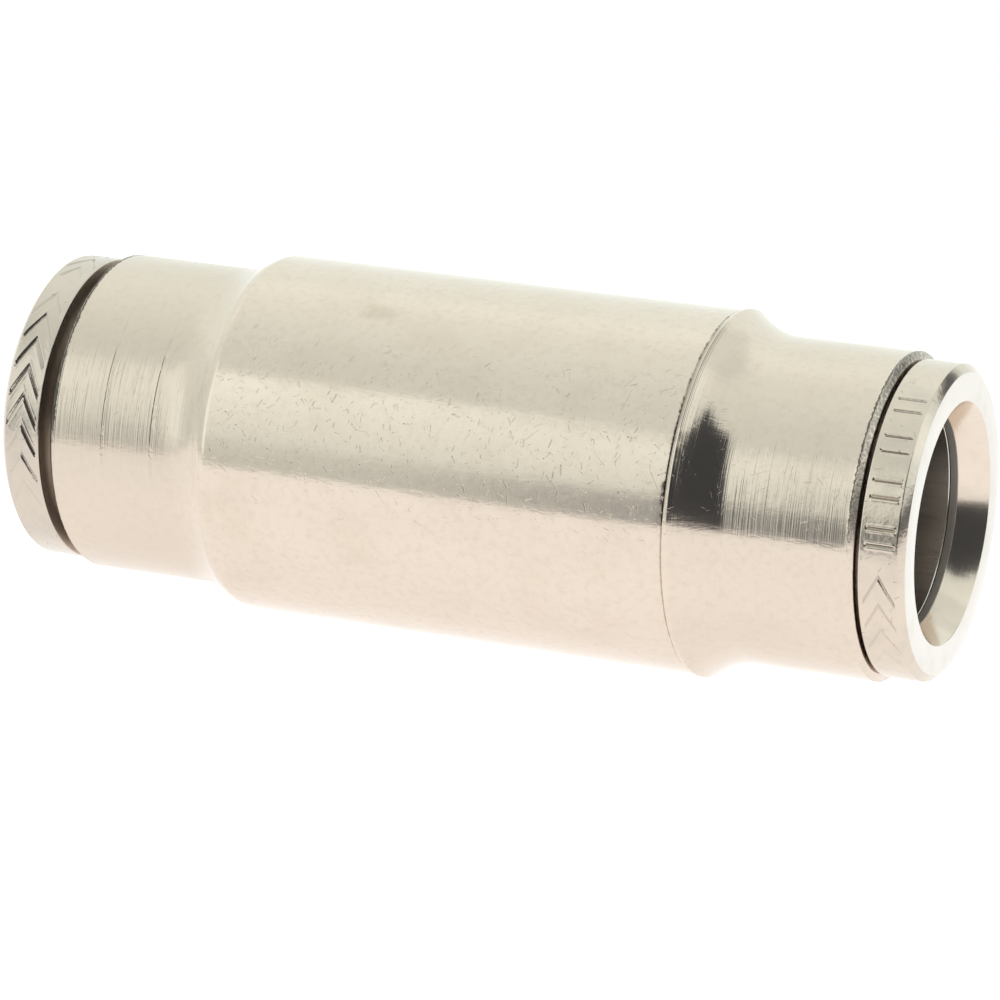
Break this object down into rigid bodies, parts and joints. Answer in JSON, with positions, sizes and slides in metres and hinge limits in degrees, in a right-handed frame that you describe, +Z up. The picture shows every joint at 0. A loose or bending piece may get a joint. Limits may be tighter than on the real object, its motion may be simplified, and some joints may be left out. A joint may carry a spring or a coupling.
{
  "type": "push to connect fitting",
  "caption": "Straight metal push-to-connect union: stepped round body, tube sockets at both ends, sliding release rings that let the tube go.",
  "frame": {"origin": "on the fitting's axis, half way between the two end faces of the body", "axes": "+X runs along the fitting's axis towards the end whose release ring rests nearly pressed in; +Z is up with the fitting lying on its side"},
  "size_m": [0.0548, 0.0208, 0.0208],
  "materials": {
    "nickel_plate": "nickel plating on turned brass, satin to bright, finely scratched",
    "nickel_plate_ring": "bright nickel plating on turned brass",
    "collet_metal": "nickel plating on turned brass, smooth",
    "stainless": "hardened stainless spring steel",
    "bare_brass": "turned brass, uncoated",
    "seal_rubber": "black nitrile rubber, smooth moulded"
  },
  "bodies": {
    "fixed": {"body": "nickel_plate", "guide_bush_left": "bare_brass", "guide_bush_right": "bare_brass", "spacer_washer_left": "bare_brass", "spacer_washer_right": "bare_brass", "seal_left": "seal_rubber", "seal_right": "seal_rubber"},
    "left_slider": {"collet_left": "collet_metal", "toothed_ring_left": "stainless"},
    "left_ring": {"release_ring_left": "nickel_plate_ring"},
    "right_slider": {"collet_right": "collet_metal", "toothed_ring_right": "stainless"},
    "right_ring": {"release_ring_right": "nickel_plate_ring"}
  },
  "joints": [
    {"name": "left_press", "type": "slide", "parent": "fixed", "child": "left_slider", "axis": [1, 0, 0], "range_m": [0, 0.00073]},
    {"name": "left_turn", "type": "hinge", "parent": "left_slider", "child": "left_ring", "pos_m": [-0.026, 0, 0], "axis": [1, 0, 0], "continuous": true},
    {"name": "right_press", "type": "slide", "parent": "fixed", "child": "right_slider", "axis": [-1, 0, 0], "range_m": [-0.00057, 0.00016]},
    {"name": "right_turn", "type": "hinge", "parent": "right_slider", "child": "right_ring", "pos_m": [0.0255, 0, 0], "axis": [1, 0, 0], "continuous": true}
  ]
}
